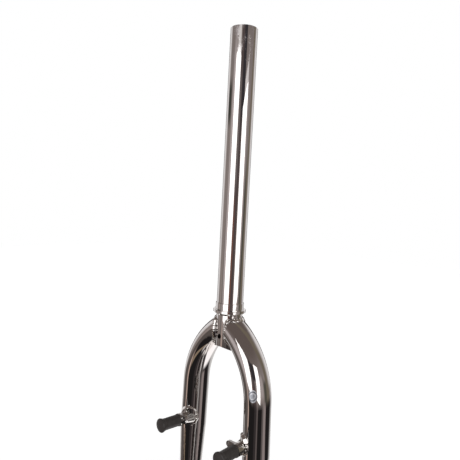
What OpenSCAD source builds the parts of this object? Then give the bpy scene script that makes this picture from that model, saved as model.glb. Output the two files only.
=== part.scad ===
// Bicycle fork: chrome steel, straight threadless steerer, two legs bent out of the crown.
// Frame: origin on the steerer's axis at the top face of the crown race flange,
// +Z up the steerer, the fork's front to -Y, right is +X as seen from the front. Millimetres.

/* [Steerer] */
// outside diameter of the steerer (one and one eighth inch)
steerer_od = 28.6; // [25.4:0.1:31.8]
// how much the steerer is turned down in radius below the top of the crown race seat
foot_step = 0.2; // [0.2:0.1:0.5]
// wall of the steerer
steerer_wall = 1.6; // [1.2:0.1:2.6]
// length above the crown race flange, uncut
steerer_above = 295.6; // [150:0.1:300]
// length below the flange, at the front
steerer_below = 38.9; // [34:0.1:42]
// radius of the arch that is cut in the steerer's bottom end
cope_r = 24; // [20:1:40]
// diameter of the hole through the crown, front to back
crown_hole_d = 5.5; // [5:0.1:8]
// depth of that hole below the flange
crown_hole_z = 28.2; // [24:0.1:31]

/* [Crown race seat] */
// diameter of the seat that a headset's crown race is pressed on
seat_d = 30.2; // [30:0.1:33.1]
// height of the seat
seat_h = 7.4; // [4:0.1:9]
// diameter of the flange
flange_d = 35; // [33:0.1:38]
// thickness of the flange's rim
flange_h = 2.8; // [2:0.1:4]
// height of the cone under the flange
flange_cone_h = 2.4; // [1:0.1:2.6]

/* [Legs] */
// distance between the legs' centres where the crown bend ends
leg_centres = 93.8; // [90:0.1:110]
// radius of the crown bend, to the tube's centre
bend_r = 87.6; // [84:0.1:100]
// depth below the flange at which the leg's centre line would meet the steerer's axis
crown_z = 15.8; // [14:0.1:20]
// width of the oval legs from side to side
leg_side = 24.8; // [23:0.1:28]
// depth of the oval legs from front to back
leg_deep = 33.4; // [30:0.1:35]
// mean diameter of the oval tube at the bottom
tip_d = 19; // [17:0.5:22]
// wall of the leg tubes
leg_wall = 1.5; // [1:0.1:2]
// how far the even part of the leg goes on below the bosses before the taper
even_below = 16; // [15:1:30]
// length of the long taper
taper_len = 115; // [90:1:130]
// angle by which the bottom of the legs is raked forward
rake_angle = 24; // [12:1:28]
// radius of the rake's bend
rake_r = 200; // [170:5:260]
// straight length below the rake
end_len = 20; // [16:1:30]
// how far from the middle each leg's front and back edge stops at the crown
mitre_x = 9; // [8:0.5:11]

/* [Crown welds] */
// height of the weld run over the tubes
weld_t = 2; // [1:0.1:2.4]
// how far the weld run reaches in front of the leg's edge
weld_w = 3; // [1.5:0.1:3.5]

/* [Brake bosses] */
// depth of the bosses below the flange
boss_z = 131.6; // [125:0.1:140]
// distance of the studs' axes at the steerer's plane
boss_centres = 83; // [78:0.5:88]
// angle by which each stud points outwards
boss_toe = 4; // [0:0.5:5]
// diameter of the boss's neck
neck_d = 12.6; // [10:0.1:14]
// diameter of the boss's foot
foot_d = 15.2; // [14:0.1:17]
// height of the weld round the boss's foot
boss_weld_t = 2.4; // [1:0.1:3]
// distance from the steerer's plane to the back of the spring plate
plate_back = 24.2; // [22:0.1:28]
// thickness of the spring plate
plate_t = 3; // [2:0.1:4]
// diameter of the spring plate
plate_d = 13.8; // [13:0.1:18]
// distance of the spring hole inwards from the stud
ear_x = 8.7; // [8:0.1:10]
// height of the spring hole over the stud
ear_z = 3.6; // [2.5:0.1:6]
// diameter of the spring plate's ear
ear_d = 6.6; // [5.5:0.1:8]
// diameter of the spring hole
spring_hole_d = 2.8; // [2:0.1:3.5]
// diameter of the stud that a brake arm turns on
stud_d = 8; // [7.8:0.1:8.2]
// length of the stud beyond the collar
stud_len = 19; // [15:0.5:20]

/* [Stud caps] */
// diameter of the cap
cap_d = 12.6; // [11:0.1:14]
// diameter of the cap's end
cap_end_d = 15.2; // [14:0.1:18]
// length of the cap
cap_len = 25.2; // [22:0.1:28]

/* [Dropouts] */
// distance between the dropouts' inner faces (front hub)
hub_w = 100; // [90:1:110]
// thickness of the dropout plate
drop_t = 5; // [4:0.5:6]
// width of the axle's slot
slot_w = 9.2; // [9:0.1:10]
// radius of the dropout round the axle
drop_r = 13.5; // [12:0.5:16]
// distance from the leg's end to the axle
drop_len = 24; // [22:1:30]
// width of the tang inside the leg
tang_w = 12; // [9:0.5:12]
// how far the round face that holds the hub stands out from the tang, on each side
face_step = 0.3; // [0.2:0.1:0.8]

/* [Sticker] */
// width of the oval sticker
sticker_w = 8.4; // [6:0.1:12]
// height of the sticker
sticker_h = 12.6; // [8:0.1:16]
// its thickness
sticker_t = 0.3; // [0.2:0.1:0.5]
// its height along the bend, as an angle above the bend's end
sticker_up = 10; // [8:0.1:30]
// its turn round the leg, from the front outwards
sticker_turn = 24; // [0:1:30]

/* [Hidden] */
$fn = 56;
steerer_r = steerer_od / 2;
bore_r = steerer_r - steerer_wall;
seat_r = seat_d / 2;
steerer_foot_r = steerer_r - foot_step;
ring_r = steerer_foot_r + 0.1;
flange_r = flange_d / 2;
cone_bottom = -flange_h - flange_cone_h;
bend_x = leg_centres / 2 - bend_r;
bend_z = crown_z + sqrt(bend_r * bend_r - bend_x * bend_x);
bend_turn = acos(-bend_x / bend_r) + 4.3;
leg_r = (leg_side + leg_deep) / 4;
// how far the round tube is pressed narrower from side to side, and deeper from front to back
kx = leg_side / 2 / leg_r;
ky = leg_deep / 2 / leg_r;
tip_r = tip_d / 2;
// lengths along the leg from the bend's end
even_len = boss_z + even_below - bend_z;
s_rake = even_len + taper_len;
s_straight = s_rake + rake_r * sin(rake_angle);
s_end = s_straight + end_len * cos(rake_angle);
y_end = -rake_r * (1 - cos(rake_angle)) - end_len * sin(rake_angle);
// the dropout sits a little inside the leg's centre, and the legs spread to reach it
drop_x = hub_w / 2 + drop_t / 2;
tang_in = 2;
splay = asin((drop_x + tang_in - leg_centres / 2) / s_end);
top_x = bend_x + bend_r * cos(splay);
top_z = -bend_z + bend_r * sin(splay);
end_x = top_x + s_end * sin(splay);
end_z = top_z - s_end * cos(splay);
axle_y = y_end - drop_len * sin(rake_angle);
axle_z = end_z - drop_len * cos(rake_angle);
// the leg's centre at the bosses
boss_x = boss_centres / 2;
leg_x_boss = top_x + (top_z + boss_z) * tan(splay);
boss_off = leg_x_boss - boss_x;
boss_lean = atan(2 * boss_off / leg_deep);
// the lowest point of the leg's mitre against the steerer
mitre_low = -bend_z + sqrt((bend_r - leg_side / 2) * (bend_r - leg_side / 2) - (steerer_foot_r - bend_x) * (steerer_foot_r - bend_x));
neck_r = neck_d / 2;
foot_r = foot_d / 2;
plate_front = plate_back + plate_t;
collar_t = 1.2;
collar_r = neck_r + 0.6;
cap_start = plate_front + collar_t;
stud_r = stud_d / 2;
cap_r = cap_d / 2;
cap_end_r = cap_end_d / 2;
rim_r = 1.4;
// tangent line from the plate's round to its ear
ear_far = sqrt(ear_x * ear_x + ear_z * ear_z);
ear_dir = 180 - atan2(ear_z, ear_x);
ear_tan = acos((plate_d / 2 - ear_d / 2) / ear_far);
hair = 0.03;

// A round bar that follows the leg's crown bend to the middle. A bent bar is a hair thicker than
// the straight one that runs half a millimetre into it, so their surfaces never only touch.
module bend_bar(r) {
    translate([bend_x, 0, -bend_z]) rotate([90, 0, 0])
        rotate([0, 0, splay]) rotate_extrude(angle = bend_turn - splay) translate([bend_r, 0])
            scale([kx, ky]) circle(r + hair);
}

// The leg's straight, tapered and raked part as a solid bar. The wall w is taken off every radius.
module lower_bar(w, extra) {
    translate([top_x, 0, top_z]) rotate([0, -splay, 0]) {
        scale([kx, ky, 1]) rotate_extrude() polygon([[0, 0.5], [leg_r - w, 0.5], [leg_r - w, -even_len],
            [tip_r - w, -s_rake], [tip_r - w, -s_rake - 0.5], [0, -s_rake - 0.5]]);
        translate([0, -rake_r, -s_rake]) rotate([0, 90, 0]) rotate([0, 0, 90 - rake_angle])
            rotate_extrude(angle = rake_angle) translate([rake_r, 0]) scale([ky, kx]) circle(tip_r - w + hair);
        translate([0, -rake_r * (1 - cos(rake_angle)), -s_straight]) rotate([-rake_angle, 0, 0])
            translate([0, 0, -end_len - extra]) scale([kx, ky, 1]) cylinder(h = end_len + extra + 0.5, r = tip_r - w);
    }
}

// The bend's outside, cut back at its front and back edges.
module bend_outside() {
    difference() {
        bend_bar(leg_r);
        translate([-mitre_x - 60, -40, -120]) cube([60 + 2 * mitre_x, 80, 140]);
    }
}

// The steerer's foot as a solid bar, longer than the real one at the bottom.
module steerer_bar() {
    translate([0, 0, -steerer_below - 40]) cylinder(h = steerer_below + 50, r = steerer_foot_r);
}

module leg() {
    difference() {
        union() {
            bend_outside();
            lower_bar(0, 0);
        }
        bend_bar(leg_r - leg_wall);
        lower_bar(leg_wall, 1);
        steerer_bar();
    }
}

// The leg's straight part at the bosses, as a solid bar.
module even_bar(grow) {
    translate([top_x, 0, top_z]) rotate([0, -splay, 0]) translate([0, 0, -even_len + 1])
        scale([kx + grow / leg_r, ky + grow / leg_r, 1]) cylinder(h = even_len - 2, r = leg_r);
}

module steerer() {
    difference() {
        rotate_extrude() polygon([[0, -steerer_below - 8], [steerer_foot_r, -steerer_below - 8],
            [steerer_foot_r, seat_h], [steerer_r, seat_h], [steerer_r, steerer_above], [0, steerer_above]]);
        translate([0, 0, -steerer_below - 9]) cylinder(h = steerer_above + steerer_below + 10, r = bore_r);
        translate([0, 30, -steerer_below - cope_r]) rotate([90, 0, 0]) cylinder(h = 60, r = cope_r);
        translate([-20, -20, -steerer_below - 20]) cube([40, 40, 20 - cope_r + sqrt(cope_r * cope_r - (steerer_foot_r - 0.01) * (steerer_foot_r - 0.01))]);
        translate([0, 30, -crown_hole_z]) rotate([90, 0, 0]) cylinder(h = 60, r = crown_hole_d / 2);
    }
}

module race_seat() {
    rotate_extrude() polygon([[ring_r, cone_bottom], [ring_r + 0.7, cone_bottom],
        [flange_r, -flange_h], [flange_r, -0.3], [flange_r - 0.3, 0], [seat_r, 0],
        [seat_r, seat_h - 0.4], [seat_r - 0.4, seat_h], [ring_r, seat_h]]);
}

module crown_weld() {
    difference() {
        intersection() {
            bend_bar(leg_r + weld_t);
            translate([0, 0, -60]) cylinder(h = 60 + cone_bottom, r = steerer_r + weld_t);
            translate([mitre_x - weld_w, -40, mitre_low + 3.4]) cube([40, 80, 80]);
        }
        steerer_bar();
        bend_outside();
    }
}

// Puts a shape that is drawn along +Z on the boss's axis, pointing forward.
module on_boss() {
    translate([boss_x, 0, -boss_z]) rotate([0, 0, boss_toe]) rotate([90, 0, 0]) children();
}

module boss_outside() {
    on_boss() {
        translate([0, 0, 5]) cylinder(h = plate_back - 5, r = neck_r);
        translate([0, 0, 5]) cylinder(h = 6, r = foot_r);
        translate([0, 0, 11]) cylinder(h = 8, r1 = foot_r, r2 = neck_r);
    }
}

module boss() {
    difference() {
        union() {
            boss_outside();
            on_boss() {
                translate([0, 0, plate_back - 1]) cylinder(h = plate_t + 2, r = neck_r - 1.3);
                translate([0, 0, plate_front]) cylinder(h = collar_t, r = collar_r);
                translate([0, 0, cap_start - 0.5]) cylinder(h = stud_len - 0.5, r = stud_r);
                translate([0, 0, cap_start + stud_len - 1]) cylinder(h = 1, r1 = stud_r, r2 = stud_r - 0.8);
            }
        }
        even_bar(0);
        on_boss() translate([0, 0, cap_start + stud_len - 14]) cylinder(h = 20, r = 2.5);
    }
}

module spring_plate() {
    on_boss() translate([0, 0, plate_back]) linear_extrude(plate_t) difference() {
        union() {
            circle(plate_d / 2);
            translate([-ear_x, ear_z]) circle(ear_d / 2);
            polygon([[plate_d / 2 * cos(ear_dir - ear_tan), plate_d / 2 * sin(ear_dir - ear_tan)],
                [-ear_x + ear_d / 2 * cos(ear_dir - ear_tan), ear_z + ear_d / 2 * sin(ear_dir - ear_tan)],
                [-ear_x + ear_d / 2 * cos(ear_dir + ear_tan), ear_z + ear_d / 2 * sin(ear_dir + ear_tan)],
                [plate_d / 2 * cos(ear_dir + ear_tan), plate_d / 2 * sin(ear_dir + ear_tan)]]);
        }
        circle(neck_r - 1.3);
        translate([-ear_x, ear_z]) circle(spring_hole_d / 2);
    }
}

// An oblong mound on the leg round the boss's foot, square to the leg's surface.
module boss_weld() {
    difference() {
        intersection() {
            even_bar(boss_weld_t);
            translate([leg_x_boss, 0, -boss_z]) rotate([0, 0, -boss_lean]) rotate([90, 0, 0]) {
                for (up = [-2.5, 5]) translate([0, up, 3]) {
                    cylinder(h = leg_deep / 2 - 4.5, r = 8.4);
                    translate([0, 0, leg_deep / 2 - 4.5]) cylinder(h = 5, r1 = 8.4, r2 = 5.2);
                }
            }
        }
        even_bar(0);
        boss_outside();
    }
}

module stud_cap() {
    on_boss() translate([0, 0, cap_start]) difference() {
        rotate_extrude() {
            square([cap_r, cap_len - 4]);
            polygon([[0, cap_len - 6.5], [cap_r, cap_len - 6.5], [cap_end_r - 0.4, cap_len - 3.6],
                [cap_end_r - 0.4, cap_len - 2.2], [0, cap_len - 2.2]]);
            translate([cap_end_r - rim_r, cap_len - 0.9 - rim_r]) circle(rim_r);
            square([cap_end_r - rim_r, cap_len - 0.9]);
            intersection() {
                translate([0, cap_len - 26]) circle(26);
                square([cap_end_r - rim_r, cap_len]);
            }
        }
        translate([0, 0, -1]) cylinder(h = stud_len + 2, r = stud_r);
    }
}

module slot_outline() {
    circle(slot_w / 2);
    translate([-slot_w / 2, -30]) square([slot_w, 30]);
}

// The tang runs up into the leg. It is thinner than the round face that holds the hub.
module drop_tang() {
    translate([hub_w / 2 + face_step, axle_y, axle_z]) rotate([90, 0, 90])
        linear_extrude(drop_t - 2 * face_step) difference() {
            union() {
                rotate(-rake_angle) translate([-tang_w / 2, 0]) square([tang_w, drop_len + 16]);
                rotate(-rake_angle) polygon([[1.5 - drop_r, 0], [drop_r - 1.5, 0],
                    [tang_w / 2, drop_len - 3], [-tang_w / 2, drop_len - 3]]);
            }
            slot_outline();
        }
}

module dropout() {
    translate([hub_w / 2, axle_y, axle_z]) rotate([90, 0, 90]) linear_extrude(drop_t) difference() {
        circle(drop_r);
        slot_outline();
    }
    drop_tang();
}

// A dome that closes the leg's end round the dropout.
module dropout_weld() {
    difference() {
        translate([end_x, y_end, end_z]) rotate([0, -splay, 0]) rotate([-rake_angle, 0, 0]) {
            rotate([0, 90, 0]) rotate([0, 0, -90]) rotate_extrude(angle = 180) intersection() {
                scale([ky, kx]) circle(tip_r);
                translate([0, -tip_r]) square([2 * tip_r, 2 * tip_r]);
            }
            scale([kx, ky, 1]) cylinder(h = 5, r = tip_r - leg_wall - hair);
        }
        drop_tang();
    }
}

// The sticker is a thin oval skin on the bend.
module sticker() {
    difference() {
        intersection() {
            bend_bar(leg_r + sticker_t);
            translate([bend_x + bend_r * cos(sticker_up), 0, -bend_z + bend_r * sin(sticker_up)])
                rotate([0, -sticker_up, 0]) rotate([0, 0, sticker_turn]) rotate([90, 0, 0])
                linear_extrude(30) scale([sticker_w / sticker_h, 1]) circle(sticker_h / 2);
        }
        bend_bar(leg_r);
    }
}

module steerer_tube() { color([0.70, 0.68, 0.66]) steerer(); }
module crown_race_seat() { color([0.74, 0.72, 0.70]) race_seat(); }
module right_leg() { color([0.66, 0.64, 0.62]) leg(); }
module left_leg() { color([0.66, 0.64, 0.62]) mirror([1, 0, 0]) leg(); }
module right_crown_weld() { color([0.78, 0.76, 0.74]) crown_weld(); }
module left_crown_weld() { color([0.78, 0.76, 0.74]) mirror([1, 0, 0]) crown_weld(); }
module right_boss() { color([0.70, 0.69, 0.68]) boss(); }
module left_boss() { color([0.70, 0.69, 0.68]) mirror([1, 0, 0]) boss(); }
module right_spring_plate() { color([0.62, 0.61, 0.60]) spring_plate(); }
module left_spring_plate() { color([0.62, 0.61, 0.60]) mirror([1, 0, 0]) spring_plate(); }
module right_boss_weld() { color([0.78, 0.76, 0.74]) boss_weld(); }
module left_boss_weld() { color([0.78, 0.76, 0.74]) mirror([1, 0, 0]) boss_weld(); }
module right_stud_cap() { color([0.12, 0.11, 0.11]) stud_cap(); }
module left_stud_cap() { color([0.12, 0.11, 0.11]) mirror([1, 0, 0]) stud_cap(); }
module right_dropout() { color([0.64, 0.63, 0.62]) dropout(); }
module left_dropout() { color([0.64, 0.63, 0.62]) mirror([1, 0, 0]) dropout(); }
module right_dropout_weld() { color([0.78, 0.76, 0.74]) dropout_weld(); }
module left_dropout_weld() { color([0.78, 0.76, 0.74]) mirror([1, 0, 0]) dropout_weld(); }
module leg_sticker() { color([0.75, 0.77, 0.80]) sticker(); }

steerer_tube();
crown_race_seat();
left_leg();
right_leg();
left_crown_weld();
right_crown_weld();
left_boss();
right_boss();
left_spring_plate();
right_spring_plate();
left_boss_weld();
right_boss_weld();
left_stud_cap();
right_stud_cap();
left_dropout();
right_dropout();
left_dropout_weld();
right_dropout_weld();
leg_sticker();
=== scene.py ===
# %% [markdown]
# # A bicycle fork in dark chrome
# The fork is one welded piece: an upright steerer tube, two oval legs that bend down from its foot,
# a brake boss on the front of each leg, and a forked plate at each tip for the wheel's axle.
# The packed model is loaded first and stays where it is. This file adds what a solid model can't
# show: the welder's ripples, the finishes, the studio that the chrome mirrors, and the camera.

# %% Load the frame
import math
import bpy
from mathutils import Matrix, Vector

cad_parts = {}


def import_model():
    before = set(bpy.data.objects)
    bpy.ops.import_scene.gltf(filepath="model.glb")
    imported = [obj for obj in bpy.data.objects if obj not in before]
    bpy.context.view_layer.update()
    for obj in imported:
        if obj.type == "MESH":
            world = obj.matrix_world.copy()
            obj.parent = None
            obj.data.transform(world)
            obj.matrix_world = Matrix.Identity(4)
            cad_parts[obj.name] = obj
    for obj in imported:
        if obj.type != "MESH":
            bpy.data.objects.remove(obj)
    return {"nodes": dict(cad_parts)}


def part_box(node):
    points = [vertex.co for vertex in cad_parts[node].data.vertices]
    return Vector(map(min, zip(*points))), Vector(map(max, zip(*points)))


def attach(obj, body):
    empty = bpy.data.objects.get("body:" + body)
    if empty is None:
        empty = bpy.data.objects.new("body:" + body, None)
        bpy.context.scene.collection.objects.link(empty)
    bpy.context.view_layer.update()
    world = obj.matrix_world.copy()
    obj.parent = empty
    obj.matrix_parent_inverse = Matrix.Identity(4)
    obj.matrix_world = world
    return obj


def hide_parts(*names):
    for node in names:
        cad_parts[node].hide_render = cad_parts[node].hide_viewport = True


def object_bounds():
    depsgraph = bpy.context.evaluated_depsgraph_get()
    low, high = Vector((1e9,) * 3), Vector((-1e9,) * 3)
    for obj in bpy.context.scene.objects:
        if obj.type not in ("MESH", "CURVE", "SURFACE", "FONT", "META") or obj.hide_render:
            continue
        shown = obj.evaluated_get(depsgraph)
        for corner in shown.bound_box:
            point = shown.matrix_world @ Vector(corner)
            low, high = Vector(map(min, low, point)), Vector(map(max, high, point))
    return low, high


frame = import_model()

solid_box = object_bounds()
nodes = frame["nodes"]
print("solids:", len(nodes), "box:", solid_box)

# %% [markdown]
# ## Writing shaders as sums
# A finish is mostly arithmetic on a place: how far up the tube, how far from a rim, how rough here.
# It could be wired node by node, but then the idea is lost among the wires. A small class wraps a
# socket, so that a plus or a minus between two of them adds the Math node for it.

# %% A socket that does sums
class Amount:
    def __init__(self, tree, socket):
        self.tree, self.socket = tree, socket

    def __add__(self, other):
        return self.tree.maths("ADD", self, other)

    def __radd__(self, other):
        return self.tree.maths("ADD", other, self)

    def __sub__(self, other):
        return self.tree.maths("SUBTRACT", self, other)

    def __rsub__(self, other):
        return self.tree.maths("SUBTRACT", other, self)

    def __mul__(self, other):
        return self.tree.maths("MULTIPLY", self, other)

    def __rmul__(self, other):
        return self.tree.maths("MULTIPLY", other, self)

    def __truediv__(self, other):
        return self.tree.maths("DIVIDE", self, other)

    def __pow__(self, other):
        return self.tree.maths("POWER", self, other)

    def __abs__(self):
        return self.tree.maths("ABSOLUTE", self)


print("sockets can be added, taken away, multiplied, divided and raised")

# %% [markdown]
# ## One way to add a node
# The trees for shaders, for the world and for Geometry Nodes are built alike: make a node, choose
# its mode, then give each socket a value or a link. Written out, that is three or four lines for
# each node. The class below does it in one call. It also holds the few short recipes that all the
# finishes share, such as a soft step, a mix of two colours and an even grain.

# %% A tree of nodes
class Tree:
    def __init__(self, tree):
        self.tree = tree
        tree.nodes.clear()

    def add(self, kind, settings=None, **inputs):
        """One node. _0 names its first input, and a node as a value stands for its first output."""
        node = self.tree.nodes.new(kind)
        for name, value in (settings or {}).items():
            setattr(node, name, value)
        for name, value in inputs.items():
            slot = node.inputs[int(name[1:]) if name[1:].isdigit() else name.replace("_", " ")]
            if isinstance(value, bpy.types.Node):
                value = self.out(value)
            if isinstance(value, Amount):
                self.tree.links.new(value.socket, slot)
            else:
                slot.default_value = value
        return node

    def out(self, node, name=0):
        return Amount(self, node.outputs[name])

    def end(self, shader, kind="ShaderNodeOutputMaterial"):
        """The last node of a material's or a world's tree, which takes the finished shader."""
        self.add(kind, None, Surface=shader)

    def maths(self, how, *values):
        """The result of one Math node."""
        inputs = {f"_{place}": value for place, value in enumerate(values)}
        return self.out(self.add("ShaderNodeMath", {"operation": how}, **inputs))

    def rise(self, x, low, high):
        """0 below low, 1 above high, and a soft slope between them."""
        node = self.add("ShaderNodeMapRange", {"interpolation_type": "SMOOTHSTEP"},
                        Value=x, From_Min=low, From_Max=high)
        return self.out(node)

    def fall(self, x, low, high):
        """1 below low, 0 above high, and a soft slope between them."""
        return 1 - self.rise(x, low, high)

    def band(self, x, low, high, soft):
        """1 between low and high, fading to 0 over the width soft on either side."""
        return self.rise(x, low - soft, low) * self.fall(x, high, high + soft)

    def blend(self, amount, first, second):
        """first where amount is 0, second where it is 1. Both are colours."""
        first, second = (c if isinstance(c, Amount) else (*c, 1) for c in (first, second))
        node = self.add("ShaderNodeMix", {"data_type": "RGBA"}, _0=amount, _6=first, _7=second)
        return self.out(node, 2)

    def point(self):
        """The place on the piece, in metres from the fork's origin."""
        return self.out(self.add("ShaderNodeTexCoord"), "Object")

    def axis(self, point, letter):
        """One of a vector's three numbers, by its letter."""
        return self.out(self.add("ShaderNodeSeparateXYZ", None, Vector=point), letter)

    def radius(self, point):
        """The distance from the steerer's axis, which is the z axis."""
        x, y = self.axis(point, "X"), self.axis(point, "Y")
        return (x * x + y * y) ** 0.5

    def scaled(self, point, x=1, y=1, z=1, move=(0, 0, 0)):
        """A pattern read here is drawn out along an axis whose number is under 1."""
        node = self.add("ShaderNodeMapping", None, Vector=point, Scale=(x, y, z), Location=move)
        return self.out(node)

    def grain(self, point, size, detail=3):
        """Even random noise from 0 to 1, with lumps about that size across."""
        node = self.add("ShaderNodeTexNoise", None, Vector=point, Scale=1 / size, Detail=detail,
                        Roughness=0.55)
        return self.out(node, "Fac")


print("node recipes:", ", ".join(name for name in vars(Tree) if not name.startswith("_")))

# %% [markdown]
# ## The chrome
# Every metal piece of the fork is plated, so one recipe does for all of them and each piece changes
# it a little. Plating over drawn tube isn't a perfect mirror: it has faint drawn lines, slow waves
# from the polishing wheel, hairline scratches where it was handled, and a pale haze where it was
# rubbed. The metal itself is a dark, slightly warm chrome, so it mirrors about six tenths of the
# light. All of this could be real dents in the mesh, but at this size a bump looks the same.

# %% The chrome recipe
DARK_CHROME = (0.62, 0.60, 0.59)
# the pale colour of rubbed haze, which on the steerer's rim also stands for a painted highlight
PALE_HAZE_AND_HIGHLIGHT = (0.80, 0.81, 0.84)
# the colour of bare steel in the bore and the hole, painted near black as the shade inside the tube,
# and its roughness
SHADED_BARE_STEEL, BARE_ROUGH = (0.045, 0.04, 0.038), 0.4
# clouds 20 mm across, in which the metal is a shade darker
CLOUD_SIZE, CLOUD_SHADE = 0.02, 0.97
finishes = {}


def blank(name):
    """Keep a new material among the finishes, and give the tree of its nodes, emptied."""
    finishes[name] = bpy.data.materials.new(name)
    finishes[name].use_nodes = True
    return Tree(finishes[name].node_tree)


def surface(tree, colour, metallic, rough, height, bump, depth):
    """One skin over the whole piece, with a relief of that depth in metres."""
    relief = tree.add("ShaderNodeBump", None, Strength=bump, Distance=depth, Height=height)
    skin = tree.add("ShaderNodeBsdfPrincipled", None, Base_Color=colour, Metallic=metallic,
                    Roughness=rough, Normal=relief)
    tree.end(skin)


def metal(name, colour, rough, shape, bump=0.2, depth=0.00002, bare_and_shaded=None):
    """shape gives the height, the extra roughness and the pale haze of wear, which on the steerer's rim
    is also a painted highlight. The last argument is 1 on bare steel, which is painted near black with
    the shade inside the tube.
    """
    tree = blank(name)
    point = tree.point()
    height, extra, haze = shape(tree, point)
    shade = tuple(CLOUD_SHADE * part for part in colour)
    tint = tree.blend(tree.grain(point, CLOUD_SIZE), shade, colour)
    # the pale haze of wear, which on the steerer's rim is a painted highlight as well
    tint = tree.blend(haze, tint, PALE_HAZE_AND_HIGHLIGHT)
    if bare_and_shaded:
        unplated_and_shaded = bare_and_shaded(tree, point)
        # bare steel, painted near black with the shade inside the tube
        tint = tree.blend(unplated_and_shaded, tint, SHADED_BARE_STEEL)
        extra = extra + BARE_ROUGH * unplated_and_shaded
    surface(tree, tint, 1.0, extra + rough, height, bump, depth)
    print("metal finish:", name)


def scratches(tree, point, size):
    """Thin lines where a drawn-out noise crosses its middle value, broken up by a second noise."""
    line = abs(tree.grain(tree.scaled(point, z=0.13), size, 2) - 0.5)
    patch = tree.grain(tree.scaled(point, x=0.2, y=0.2, move=(3, 1, 2)), size * 1.7, 2)
    return tree.fall(line, 0.0, 0.008) * tree.rise(patch, 0.52, 0.62)


print("chrome recipe ready, dark chrome is", DARK_CHROME)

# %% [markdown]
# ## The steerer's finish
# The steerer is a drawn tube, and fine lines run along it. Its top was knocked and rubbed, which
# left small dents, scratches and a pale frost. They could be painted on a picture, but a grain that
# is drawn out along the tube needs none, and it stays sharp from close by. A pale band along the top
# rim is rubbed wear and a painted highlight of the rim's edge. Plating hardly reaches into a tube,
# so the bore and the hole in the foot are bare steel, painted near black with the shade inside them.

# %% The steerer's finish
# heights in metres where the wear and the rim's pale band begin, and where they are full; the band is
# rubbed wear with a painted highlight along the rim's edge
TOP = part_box("steerer_tube")[1][2]
WORN_FROM, WORN_FULL = TOP - 0.0606, TOP - 0.0106
RIM_WEAR_AND_HIGHLIGHT_FROM, RIM_WEAR_AND_HIGHLIGHT_FULL = TOP - 0.0012, TOP - 0.0002
# distances from the axis where bare steel, painted near black as the shade inside, gives way to
# plating, in the bore and in the hole, and the height under the race's seat above which the hole's rule
# stops
BORE_EDGE, HOLE_EDGE = (0.0128, 0.0130), (0.0137, 0.0140)
HOLE_ABOVE = (-0.004, -0.002)


def steerer_shape(tree, point):
    z = tree.axis(point, "Z")
    worn = tree.rise(z, WORN_FROM, WORN_FULL)
    # the pale band along the top rim: rubbed wear, and a painted highlight of the rim's edge
    rim_wear_and_highlight = tree.rise(z, RIM_WEAR_AND_HIGHLIGHT_FROM, RIM_WEAR_AND_HIGHLIGHT_FULL)
    lines = tree.grain(tree.scaled(point, z=0.004), 0.0006, 2)
    waves = tree.grain(tree.scaled(point, z=0.5), 0.012, 1)
    marks = scratches(tree, point, 0.01)
    dents = tree.grain(tree.scaled(point, z=1.6, move=(1, 2, 4)), 0.005)
    dents = tree.rise(dents, 0.55, 0.80) * worn
    frost = tree.grain(tree.scaled(point, z=0.3, move=(5, 3, 1)), 0.004, 4)
    frost = tree.rise(frost, 0.46, 0.72) * worn
    height = lines * 0.10 + waves - marks * 0.25 - dents * 0.5
    extra = 0.30 * dents + 0.20 * frost + 0.20 * marks * worn + 0.02 * marks + 0.08 * rim_wear_and_highlight
    haze = 0.5 * dents + 0.4 * marks * worn + 0.4 * frost + 0.35 * rim_wear_and_highlight
    return height, extra, haze


def inside_tube(tree, point):
    """1 in the bore and in the depth of the hole, which no plating reached and whose shade is painted
    in.
    """
    radius = tree.radius(point)
    bore = tree.fall(radius, *BORE_EDGE)
    hole = tree.fall(radius, *HOLE_EDGE) * tree.fall(tree.axis(point, "Z"), *HOLE_ABOVE)
    return tree.maths("MAXIMUM", bore, hole)


metal("steerer_chrome", DARK_CHROME, 0.035, steerer_shape, bare_and_shaded=inside_tube)

# %% [markdown]
# ## The legs' finish
# Polishing a bent tube leaves slow waves that run with it, and they break the long straight edges
# of the mirrored lamps. The legs are less scratched than the steerer. So this is the same chrome
# with softer waves, a very fine skin and fewer marks.

# %% The legs' finish
def leg_shape(tree, point):
    waves = tree.grain(tree.scaled(point, z=0.7), 0.014, 1)
    skin = tree.grain(point, 0.0012, 2)
    marks = scratches(tree, point, 0.014)
    return waves * 0.6 + skin * 0.03 - marks * 0.2, 0.03 * marks, 0.12 * marks


metal("leg_chrome", DARK_CHROME, 0.03, leg_shape)

# %% [markdown]
# ## Turned, welded and stamped pieces
# A lathe leaves rings about its axis, which is upright on the race's seat and points forward on a
# brake boss. A boss also got crumbs and specks when it was welded on. A weld is lumpy, with small
# dull spots, and a plate stamped from sheet has an even, duller skin. Rings need no turning
# pattern here: a grain drawn out across the axis is enough.

# %% Turned, welded and stamped pieces
def turned_shape(tree, point):
    rings = tree.grain(tree.scaled(point, x=0.02, y=0.02), 0.0003, 1)
    return rings * 0.3 + tree.grain(point, 0.004, 2) * 0.2, 0.04 * rings, 0.0


def boss_shape(tree, point):
    rings = tree.grain(tree.scaled(point, x=0.02, z=0.02), 0.0003, 1)
    crumbs = tree.grain(point, 0.0019)
    specks = tree.rise(tree.grain(point, 0.0011, 1), 0.62, 0.70)
    return rings * 0.25 + crumbs, 0.04 * rings + 0.12 * specks, 0.2 * specks


def weld_shape(tree, point):
    lumps = tree.grain(point, 0.0022)
    spots = tree.rise(tree.grain(point, 0.0009, 1), 0.66, 0.72)
    return lumps * 1.2 - spots * 0.4, 0.10 * spots, 0.15 * spots


def stamped_shape(tree, point):
    skin = tree.grain(point, 0.0015)
    marks = scratches(tree, point, 0.007)
    return skin * 0.5 - marks * 0.3, 0.06 * skin + 0.05 * marks, 0.15 * marks


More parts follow.
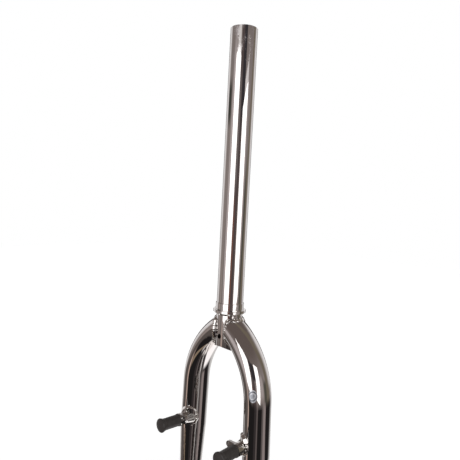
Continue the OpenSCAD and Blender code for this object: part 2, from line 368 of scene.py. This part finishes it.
metal("seat_chrome", (0.68, 0.67, 0.66), 0.06, turned_shape)
metal("weld_chrome", (0.68, 0.66, 0.64), 0.07, weld_shape, bump=0.35, depth=0.0001)
metal("boss_chrome", (0.64, 0.63, 0.61), 0.06, boss_shape, bump=0.4, depth=0.00008)
metal("plate_steel", (0.55, 0.54, 0.53), 0.14, stamped_shape)
metal("dropout_chrome", (0.62, 0.61, 0.60), 0.08, stamped_shape)

# %% [markdown]
# ## Black caps and the silver sticker
# The caps are moulded in matt black plastic, with a fine eroded skin that breaks the highlight up.
# The sticker is a small oval of foil. A picture could be laid on it, but it is drawn from its own
# middle in rings of two silvers, so nothing on it is a sign or a letter.

# %% The plastic and the foil
FOIL_HALF_WIDTH, FOIL_HALF_HEIGHT = 0.0044, 0.0061


def plastic(name):
    tree = blank(name)
    point = tree.point()
    cloud = tree.grain(point, 0.005)
    colour = tree.blend(cloud, (0.026, 0.022, 0.021), (0.040, 0.035, 0.033))
    skin = tree.grain(point, 0.0004, 2)
    surface(tree, colour, 0.0, 0.42 + 0.12 * cloud, skin, bump=0.5, depth=0.00003)


def foil(name, middle):
    """far is 0 at the sticker's middle and 1 at its edge."""
    tree = blank(name)
    point = tree.point()
    across = (tree.axis(point, "X") - middle.x) / FOIL_HALF_WIDTH
    along = (tree.axis(point, "Z") - middle.z) / FOIL_HALF_HEIGHT
    far = (across * across + along * along) ** 0.5
    ring = tree.band(far, 0.62, 0.80, 0.05)
    hub = tree.fall(far, 0.34, 0.42)
    colour = tree.blend(ring, (0.60, 0.62, 0.66), (0.20, 0.21, 0.24))
    colour = tree.blend(hub, colour, (0.34, 0.36, 0.40))
    skin = tree.grain(point, 0.0006, 2)
    surface(tree, colour, 0.6, 0.24 + 0.1 * skin, skin, bump=0.3, depth=0.00003)


low_corner, high_corner = (Vector(corner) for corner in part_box("leg_sticker"))
sticker_middle = (low_corner + high_corner) / 2
plastic("cap_black")
foil("sticker_silver", sticker_middle)
print("sticker's middle:", sticker_middle)

# %% [markdown]
# ## Dressing the solids
# Each solid is one physical piece, already right in shape, and a real piece has one finish all
# over. So the solids stay as they are, and only the material in their slots changes. The left and
# the right piece of a pair share a finish, so their names are looked up without the side.

# %% One finish for each solid
finish_of = {
    "steerer_tube": "steerer_chrome",
    "crown_race_seat": "seat_chrome",
    "leg": "leg_chrome",
    "leg_sticker": "sticker_silver",
    "crown_weld": "weld_chrome",
    "boss": "boss_chrome",
    "boss_weld": "weld_chrome",
    "spring_plate": "plate_steel",
    "stud_cap": "cap_black",
    "dropout": "dropout_chrome",
    "dropout_weld": "weld_chrome",
}
for name, solid in nodes.items():
    piece = name.removeprefix("left_").removeprefix("right_")
    for slot in solid.material_slots:
        slot.material = finishes[finish_of[piece]]
print("dressed", len(nodes), "solids")

# %% [markdown]
# ## The joint at the crown
# A leg's oval tube, on its bend, runs into the round foot of the steerer, and the weld follows the
# line where the two skins meet. The line could be found by cutting one mesh with the other, but a
# cut of two meshes is ragged. Both shapes have a formula, so their joint is worked out from it: for
# each turn round the oval, where does the bend reach the foot's surface?

# %% The joint's path in numbers
# the solid model's own sizes in millimetres: the bend's middle follows from the first three
MM = 0.001
LEG_CENTRES, CROWN_Z, BEND_R = 93.8, 15.8, 87.6
BEND_X = round(LEG_CENTRES / 2 - BEND_R, 3)
BEND_Z = round(CROWN_Z + math.sqrt(BEND_R ** 2 - BEND_X ** 2), 3)
SIDE, DEEP, FOOT_R = 24.8 / 2, 33.4 / 2, 14.2
# the bead stays this far from the middle, a little outside the edge where the legs stop
MITRE_X = 9.2
# how far the bead leans with the leg's skin rather than with the tube's
LEG_LEAN = 0.75
# the step on the flanks: its width, how far the bead moves in there, by what share of its way past
# the tube it is pulled back, and which way is out
STEP_WIDTH, STEP_IN, STEP_BACK = 3, 1.5, 0.42
STEP_OUT_X, STEP_OUT_Y = -0.62, 0.78


def crown_path(side, turns=120):
    """Points and outward directions where a leg's bend meets the steerer's foot."""
    points, ups = [], []
    edge = math.sqrt(FOOT_R ** 2 - MITRE_X ** 2)
    for i in range(turns):
        t = 2 * math.pi * i / turns
        y = DEEP * math.sin(t)
        x = math.sqrt(max(FOOT_R ** 2 - y * y, MITRE_X ** 2))
        reach = BEND_R + SIDE * math.cos(t)
        c = (x - BEND_X) / reach
        s = math.sqrt(1 - c * c)
        leg_out = Vector((c * math.cos(t) / SIDE, math.sin(t) / DEEP, s * math.cos(t) / SIDE))
        tube_out = Vector((x, y, 0)).normalized()
        up = (leg_out.normalized() * LEG_LEAN + tube_out * (1 - LEG_LEAN)).normalized()
        # on the flanks the leg stands wider than the tube, so the bead drops into the step between them
        past = max(0.0, abs(y) - edge)
        share = min(1.0, past / STEP_WIDTH)
        sign = math.copysign(1, y)
        step_out = Vector((STEP_OUT_X, STEP_OUT_Y * sign, 0))
        up = (up * (1 - share) + step_out * share).normalized()
        y -= sign * past * STEP_BACK
        points.append(Vector((side * (x - STEP_IN * share), y, reach * s - BEND_Z)) * MM)
        ups.append(Vector((side * up.x, up.y, up.z)).normalized())
    return points, ups


print("crown path starts at", crown_path(1)[0][0])

# %% [markdown]
# ## Drops along a path
# A hand-made weld is a row of small puddles, each frozen over the edge of the last, which leaves
# ripples across the bead. Carving them would be slow and would look too even. Geometry Nodes walk
# along the joint instead, set a squashed drop at each step, turn it with the joint, and make each
# drop a little larger or smaller than the last. One tree serves all four beads.

# %% The tree that lays the drops
DROP_SIZES = {"Step": 0.0022, "Half width": 0.003, "Half height": 0.002, "Half length": 0.0021}
LEAST, MOST = 0.86, 1.14


def bead_tree():
    group = bpy.data.node_groups.new("weld_bead", "GeometryNodeTree")
    face = group.interface
    face.new_socket("Geometry", in_out="INPUT", socket_type="NodeSocketGeometry")
    for name, value in DROP_SIZES.items():
        face.new_socket(name, in_out="INPUT", socket_type="NodeSocketFloat").default_value = value
    face.new_socket("Seed", in_out="INPUT", socket_type="NodeSocketInt").default_value = 3
    face.new_socket("Material", in_out="INPUT", socket_type="NodeSocketMaterial")
    face.new_socket("Geometry", in_out="OUTPUT", socket_type="NodeSocketGeometry")

    tree = Tree(group)
    entry = tree.add("NodeGroupInput")
    given = {socket.name: tree.out(entry, socket.name) for socket in entry.outputs if socket.name}
    curve = tree.add("GeometryNodeMeshToCurve", None, Mesh=given["Geometry"])
    even = tree.add("GeometryNodeResampleCurve", {"mode": "LENGTH"}, Curve=curve, Length=given["Step"])
    up = tree.add("GeometryNodeInputNamedAttribute", {"data_type": "FLOAT_VECTOR"}, Name="up")
    face_up = tree.add("FunctionNodeAlignRotationToVector", {"axis": "Z"},
                       Vector=tree.out(up, "Attribute"))
    turned = tree.add("FunctionNodeAlignRotationToVector", {"axis": "X", "pivot_axis": "Z"},
                      Rotation=face_up, Vector=tree.add("GeometryNodeInputTangent"))
    drop = tree.add("GeometryNodeMeshIcoSphere", None, Radius=1.0, Subdivisions=3)
    size = tree.add("ShaderNodeCombineXYZ", None, X=given["Half length"], Y=given["Half width"],
                    Z=given["Half height"])
    luck = tree.add("FunctionNodeRandomValue", {"data_type": "FLOAT"}, _2=LEAST, _3=MOST,
                    Seed=given["Seed"])
    scale = tree.add("ShaderNodeVectorMath", {"operation": "SCALE"}, _0=size, Scale=tree.out(luck, 1))
    row = tree.add("GeometryNodeInstanceOnPoints", None, Points=even, Instance=drop,
                   Rotation=turned, Scale=scale)
    real = tree.add("GeometryNodeRealizeInstances", None, Geometry=row)
    paint = tree.add("GeometryNodeSetMaterial", None, Geometry=real, Material=given["Material"])
    tree.add("NodeGroupOutput", None, Geometry=paint)
    return group


weld_tree = bead_tree()
print("bead tree:", len(weld_tree.nodes), "nodes")

# %% [markdown]
# ## The beads at the crown
# The drops still cut into each other, while a real bead is one skin with soft valleys. Joining them
# by Booleans would leave hard creases. Remesh in voxels melts the row into one closed skin, and a
# little smoothing rounds the valleys. Each bead then takes the place of the plain weld run that
# the solid model has there.

# %% Lay a bead and melt it into one skin
SKIN_MESH, EASE, EASE_TIMES = 0.00042, 0.5, 3
CROWN_DROPS = {"Step": 0.0021, "Half width": 0.0032, "Half height": 0.0018, "Half length": 0.0026}


def put(name, data):
    """A new object in the scene."""
    thing = bpy.data.objects.new(name, data)
    bpy.context.collection.objects.link(thing)
    return thing


def path_mesh(name, points, ups):
    """A closed line whose points remember which way is outward."""
    mesh = bpy.data.meshes.new(name)
    count = len(points)
    mesh.from_pydata(points, [(i, (i + 1) % count) for i in range(count)], [])
    outward = mesh.attributes.new("up", "FLOAT_VECTOR", "POINT")
    outward.data.foreach_set("vector", [part for up in ups for part in up])
    return put(name, mesh)


def lay_bead(name, path, drops, seed, stands_for=None):
    line = path_mesh(name + "_path", *path)
    layer = line.modifiers.new("bead", "NODES")
    layer.node_group = weld_tree
    inputs = {**drops, "Seed": seed, "Material": finishes["weld_chrome"]}
    for item in weld_tree.interface.items_tree:
        if item.in_out == "INPUT" and item.name in inputs:
            layer[item.identifier] = inputs[item.name]
    melt = line.modifiers.new("melt", "REMESH")
    melt.mode, melt.voxel_size, melt.use_smooth_shade = "VOXEL", SKIN_MESH, True
    ease = line.modifiers.new("ease", "SMOOTH")
    ease.factor, ease.iterations = EASE, EASE_TIMES
    view = bpy.context.evaluated_depsgraph_get()
    mesh = bpy.data.meshes.new_from_object(line.evaluated_get(view))
    mesh.name = name
    bpy.data.objects.remove(line)
    bead = put(name, mesh)
    mesh.materials.clear()
    mesh.materials.append(finishes["weld_chrome"])
    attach(bead, "root")
    if stands_for:
        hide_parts(stands_for)
    print(name, "faces:", len(mesh.polygons))


for side, label, seed in ((-1, "left", 4), (1, "right", 11)):
    lay_bead(label + "_crown_bead", crown_path(side), CROWN_DROPS, seed, label + "_crown_weld")

# %% [markdown]
# ## The beads round the brake bosses
# Each boss was welded on all round, so its bead is a ring about the boss's foot that rides up and
# down over the oval leg, and hangs over the leg's inner flank. The boss points a little outwards,
# so the ring moves outwards as it comes forward. The plain weld of the solid model stays under it.

# %% Beads round the bosses
BOSS_X, BOSS_Z, BOSS_TOE = 83 / 2, 131.6, math.radians(4)
RING_R, RING_TALLER = 7.6, 1.08
# the leg's middle at the boss, and how far round the oval the ring may go
LEG_X, FLANK = 48.02, 0.86
# how far the bead leans with the leg's skin rather than away from the boss
SKIN_LEAN = 0.7
BOSS_DROPS = {"Step": 0.0023, "Half width": 0.0016, "Half height": 0.0017, "Half length": 0.0021}


def boss_path(side, turns=72):
    """Points and outward directions round a boss's foot, on the leg's skin as far as FLANK goes."""
    points, ups = [], []
    for i in range(turns):
        t = 2 * math.pi * i / turns
        x, z = BOSS_X + RING_R * math.cos(t), -BOSS_Z + RING_R * RING_TALLER * math.sin(t)
        share = max(-FLANK, min(FLANK, (x - LEG_X) / SIDE))
        y = -DEEP * math.sqrt(1 - share * share)
        x -= y * math.tan(BOSS_TOE)
        out = Vector((share / SIDE, y / DEEP / DEEP, 0)).normalized()
        ring = Vector((math.cos(t), 0, math.sin(t)))
        up = (out * SKIN_LEAN + ring * (1 - SKIN_LEAN)).normalized()
        points.append(Vector((side * x, y, z)) * MM)
        ups.append(Vector((side * up.x, up.y, up.z)))
    return points, ups


for side, label, seed in ((-1, "left", 21), (1, "right", 35)):
    lay_bead(label + "_boss_bead", boss_path(side), BOSS_DROPS, seed)

# %% [markdown]
# ## The studio
# Chrome has no colour of its own to speak of: what one sees in it is the room. Here the room is two
# tall softboxes in front, left and right, with a dark gap between them, a dim brown room to the
# sides, a dark floor in front and a white backdrop behind. A picture of a room could be wrapped
# round the scene. Worked out from the direction of a mirrored ray instead, each wall and stand can
# be moved by a number until its reflection falls where it should.
#
# The direction is counted from the camera's side of the fork: turn is how far to the right of the
# camera a ray points, and lift how far up, both in degrees.

# %% Which way a ray points
EYE_TURN = math.radians(43.86)
DEGREES = 180 / math.pi


def looking(tree):
    way = tree.out(tree.add("ShaderNodeTexCoord"), "Generated")
    x, y, z = (tree.axis(way, letter) for letter in "XYZ")
    right = x * math.cos(EYE_TURN) + y * math.sin(EYE_TURN)
    near = x * math.sin(EYE_TURN) - y * math.cos(EYE_TURN)
    return tree.maths("ARCTAN2", right, near) * DEGREES, tree.maths("ARCSINE", z) * DEGREES


def backdrop(tree, turn, lift):
    """1 where the white paper hangs behind the fork. Its right edge lies further round low down."""
    low_down = tree.fall(lift, -13, -6)
    return tree.rise(turn - 11 * low_down, 106, 134) + tree.fall(turn, -130, -108)


def painted(tree, ground, patches):
    """Lay each patch over the ground in turn. A patch is where it is and its colour."""
    for where, colour in patches:
        ground = tree.blend(where, ground, colour)
    return ground


print("a turn of 0 is", round(EYE_TURN * DEGREES, 2), "degrees round from the fork's front")

# %% [markdown]
# ## The walls
# Above the floor, the steerer shows brown walls with soft folds and the glow of the softboxes on
# them. Between the softboxes is the dark gap that the camera stands in, which is the black stripe
# down the middle of the chrome. Behind the fork is the white paper, with a dark strip on each side
# of the middle. Every strip is a band in turn, cut off by a band in lift.

# %% The walls
WALL_LOW, WALL_HIGH = (0.33, 0.285, 0.27), (0.17, 0.135, 0.122)


def walls(tree, turn, lift, behind):
    ground = tree.blend(tree.rise(lift, 5, 45), WALL_LOW, WALL_HIGH)
    view = tree.add("ShaderNodeCombineXYZ", None, X=turn, Y=lift)
    folds = tree.grain(tree.scaled(view, y=0.12), 5.0, 2)
    level = tree.fall(lift, 4, 16)
    gap = tree.band(turn, -10, 17, 5)
    return painted(tree, ground, (
        # pale and dark folds, which end a little above the horizon
        (tree.rise(folds, 0.50, 0.64) * level, (0.46, 0.38, 0.35)),
        (tree.fall(folds, 0.36, 0.46) * level, (0.17, 0.145, 0.135)),
        # the end of the right wall, the white paper, and its two dark strips
        (tree.band(turn, 93, 110, 8), (0.22, 0.185, 0.14)),
        (behind * tree.fall(lift, 18, 38), (1.0, 0.97, 0.97)),
        (tree.band(abs(turn), 153, 169, 4) * tree.fall(lift, 22, 40), (0.08, 0.068, 0.062)),
        # the softboxes' glow on the walls
        (tree.band(turn, -66, -50, 14) * tree.band(lift, -8, 14, 8) * 0.7, (0.80, 0.72, 0.72)),
        (tree.band(turn, 58, 66, 14) * tree.band(lift, -6, 9, 8) * 0.5, (0.70, 0.62, 0.62)),
        # the dark gap, with a grey and a reddish patch in it and a black flag at its right
        (gap * tree.fall(lift, 24, 40), (0.115, 0.088, 0.086)),
        (tree.band(turn, -12, 0, 5) * tree.band(lift, 3, 13, 3), (0.22, 0.19, 0.185)),
        (tree.band(turn, -9, -3, 4) * tree.band(lift, -12, -3, 5), (0.24, 0.11, 0.085)),
        (tree.band(turn, 10, 28, 5) * tree.band(lift, 11, 26, 4), (0.05, 0.045, 0.05)),
        # a dark ledge on the left wall, and the dark foot of the right one
        (tree.band(turn, -114, -88, 6) * tree.band(lift, 10, 12.5, 2), (0.07, 0.07, 0.06)),
        (tree.band(turn, 80, 88, 6) * tree.fall(lift, 0, 7), (0.115, 0.108, 0.088)),
    ))


print("walls ready")

# %% [markdown]
# ## The low part
# The bent legs mirror what lies below: a dark floor in front, tan strips of the room's floor to the
# left, dark and pale legs of stands, and the lit paper under and behind the fork, which is brighter
# than white. Not all of these stand upright, so some strips move sideways with lift.

# %% The low part
FLOOR_FRONT, FLOOR_BEHIND = (0.02, 0.018, 0.018), (0.80, 0.78, 0.77)


def low_part(tree, turn, lift, behind):
    ground = tree.blend(behind, FLOOR_FRONT, FLOOR_BEHIND)
    steep = tree.fall(lift, -36, -28)
    leaning = turn + lift * 0.4
    return painted(tree, ground, (
        # the room's floor to the left
        (tree.band(turn, -112, -72, 10), (0.14, 0.118, 0.108)),
        (tree.band(turn, -64, -56, 6) * (1 - steep), (0.72, 0.54, 0.46)),
        (tree.band(turn + lift * 0.85, -80, -73, 4) * steep, (0.36, 0.27, 0.19)),
        # the lit paper
        (tree.band(turn, 84, 180, 8) * tree.fall(lift, -46, -38), (1.6, 1.55, 1.55)),
        (tree.rise(turn, -20, 10) * tree.fall(lift, -70, -62), (1.3, 1.22, 1.18)),
        # dark and pale legs of stands to the right
        (tree.band(turn, 8, 20, 5), (0.05, 0.042, 0.042)),
        (tree.band(turn, 25, 31, 4), (0.17, 0.14, 0.135)),
        (tree.band(leaning, 54, 62, 3), (0.15, 0.13, 0.125)),
        (tree.band(leaning, 64, 77, 3) * (1 - tree.band(lift, -90, -40, 6)), (0.38, 0.32, 0.31)),
    ))


print("low part ready")

# %% [markdown]
# ## Who sees the room
# A room that is painted for the chrome is wrong for everything else: the camera should see plain
# white, and matt surfaces should get an even light. The Light Path node tells the rays apart, so
# only mirrored rays see the room.

# %% The world
EVEN_GREY, WHITE = (0.62, 0.62, 0.62), (1, 1, 1)


def world():
    room = bpy.data.worlds.new("studio")
    bpy.context.scene.world = room
    room.use_nodes = True
    tree = Tree(room.node_tree)
    turn, lift = looking(tree)
    behind = backdrop(tree, turn, lift)
    low_down = tree.fall(lift, -20, -13)
    mirrored = tree.blend(low_down, walls(tree, turn, lift, behind), low_part(tree, turn, lift, behind))
    rays = tree.add("ShaderNodeLightPath")
    not_seen = tree.blend(tree.out(rays, "Is Glossy Ray"), EVEN_GREY, mirrored)
    seen = tree.blend(tree.out(rays, "Is Camera Ray"), not_seen, WHITE)
    light = tree.add("ShaderNodeBackground", None, Color=seen, Strength=1.0)
    tree.end(light, "ShaderNodeOutputWorld")
    return tree


studio = world()
print("world painted with", len(studio.tree.nodes), "nodes")

# %% [markdown]
# ## Who is lit by which lamps
# The steerer and the legs stand at different heights in front of the same two softboxes, and each
# mirrors another part of them. One big lamp with flags before it would be hard to steer. Light
# linking lets each group of pieces have the part of the box that it mirrors.

# %% Who is lit by which lamps
def group(name, members):
    bunch = bpy.data.collections.new(name)
    for thing in members:
        bunch.objects.link(thing)
    return bunch


upright = [nodes[name] for name in ("steerer_tube", "crown_race_seat")]
others = [thing for thing in bpy.data.objects if thing.type == "MESH" and thing not in upright]
upper_group = group("upright_pieces", upright)
lower_group = group("leg_pieces", others)

# %% [markdown]
# ## The softboxes
# A softbox is a lamp behind a sheet of cloth, and its bright face is what chrome shows. The world
# could hold it too, but then it would sit endlessly far away. As an area lamp at arm's length it
# moves in the chrome as it should. The brightness of its face is what counts, so its power follows
# from its size: brightness times pi times area. Over each of the steerer's two boxes hangs a small,
# faint one, which is the haze that its upper end shows.

# %% The softboxes
LEFT, RIGHT = -36, 44
BOX = {"distance": 0.66, "brightness": 1.9}
HAZE = {"distance": 0.67, "brightness": 0.62}


def softbox(name, lit, turn, place, size, roll, distance, brightness):
    """turn is to the right of the camera. place and size are across and up, at that distance."""
    way = EYE_TURN + math.radians(turn)
    back = Vector((math.sin(way), -math.cos(way), 0))
    across = Vector((math.cos(way), math.sin(way), 0))
    lamp = bpy.data.lights.new(name, "AREA")
    lamp.shape = "RECTANGLE"
    lamp.size, lamp.size_y = size
    lamp.energy = brightness * math.pi * size[0] * size[1]
    thing = put(name, lamp)
    spot = back * distance + across * place[0] + Vector((0, 0, place[1]))
    facing = Matrix((across, Vector((0, 0, 1)), back)).transposed().to_4x4()
    thing.matrix_world = Matrix.Translation(spot) @ facing @ Matrix.Rotation(math.radians(roll), 4, "Z")
    thing.visible_camera = False
    thing.light_linking.receiver_collection = lit
    print(name, "power", round(lamp.energy, 2), "W")


softbox("left_box_upper", upper_group, LEFT, (0.02, 0.142), (0.48, 0.653), 0, **BOX)
softbox("right_box_upper", upper_group, RIGHT, (-0.015, 0.11), (0.43, 0.53), 8, **BOX)
softbox("right_haze_upper", upper_group, RIGHT, (0.02, 0.37), (0.30, 0.13), 11, **HAZE)
softbox("left_haze_upper", upper_group, LEFT, (0.06, 0.53), (0.26, 0.14), 0, **HAZE)
softbox("left_box_lower", lower_group, LEFT, (0.22, 0.10), (0.44, 0.66), -14, **BOX)
softbox("right_box_lower", lower_group, RIGHT, (-0.03, 0.01), (0.24, 0.50), -14, **BOX)

# %% [markdown]
# ## The floor
# A white sheet just under the dropouts, which catches the fork's shadow. Lit by the lamps alone it
# would look grey beside the white backdrop. More lamps would show in the chrome, so the sheet
# glows a little for the camera's rays only, and more so away from the fork. It is left out of what
# the chrome mirrors, because the world's low part stands for it there.

# %% The floor
PAPER_HALF, PAPER_UNDER = 4.0, 0.0005
GLOW, GLOW_MORE = 0.27, 0.18
GLOW_FROM, GLOW_FULL = 0.10, 0.65


def white_paper():
    tree = blank("white_paper")
    point = tree.point()
    colour = tree.blend(tree.grain(point, 0.05), (0.93, 0.93, 0.93), (0.95, 0.95, 0.95))
    paper = tree.add("ShaderNodeBsdfPrincipled", None, Base_Color=colour, Roughness=0.9)
    seen = tree.out(tree.add("ShaderNodeLightPath"), "Is Camera Ray")
    far = tree.rise(tree.radius(point), GLOW_FROM, GLOW_FULL)
    strength = seen * (GLOW + GLOW_MORE * far)
    glow = tree.add("ShaderNodeEmission", None, Color=(1, 1, 1, 1), Strength=strength)
    tree.end(tree.add("ShaderNodeAddShader", None, _0=paper, _1=glow))
    return finishes["white_paper"]


def floor():
    mesh = bpy.data.meshes.new("floor")
    z = solid_box[0][2] - PAPER_UNDER
    corners = [(x * PAPER_HALF, y * PAPER_HALF, z) for x, y in ((-1, -1), (1, -1), (1, 1), (-1, 1))]
    mesh.from_pydata(corners, [], [(0, 1, 2, 3)])
    thing = put("floor", mesh)
    mesh.materials.append(white_paper())
    thing.visible_glossy = False
    return thing


lower_group.objects.link(floor())
print("floor laid", PAPER_UNDER, "m under the dropouts")

# %% [markdown]
# ## The camera
# The photograph was taken from a little above the crown, 44 degrees round from the front, and the
# camera was tilted three degrees. It could be set by eye. But the straight edges and the round rims
# in the picture fit only one place and one lens, once the steerer's real width is known.

# %% The camera
EYE = (0.352643, -0.372750, 0.117154)
EYE_LIFT, EYE_ROLL = math.radians(3.588), math.radians(3.003)
SENSOR, LENS = 36, 37.546


def camera():
    turn, lift, roll = EYE_TURN, EYE_LIFT, EYE_ROLL
    back = Vector((math.sin(turn) * math.cos(lift), -math.cos(turn) * math.cos(lift), math.sin(lift)))
    right = Vector((math.cos(turn), math.sin(turn), 0))
    up = back.cross(right)
    x = right * math.cos(roll) + up * math.sin(roll)
    y = up * math.cos(roll) - right * math.sin(roll)
    eye = bpy.data.cameras.new("camera")
    eye.sensor_width, eye.lens = SENSOR, LENS
    thing = put("camera", eye)
    thing.matrix_world = Matrix.Translation(EYE) @ Matrix((x, y, back)).transposed().to_4x4()
    bpy.context.scene.camera = thing


camera()
bpy.context.scene.view_settings.view_transform = "Standard"
print("camera with a lens of", LENS, "mm, at", EYE)

# %% [markdown]
# ## Sizes
# The dressed fork has to be as large as the solid one.
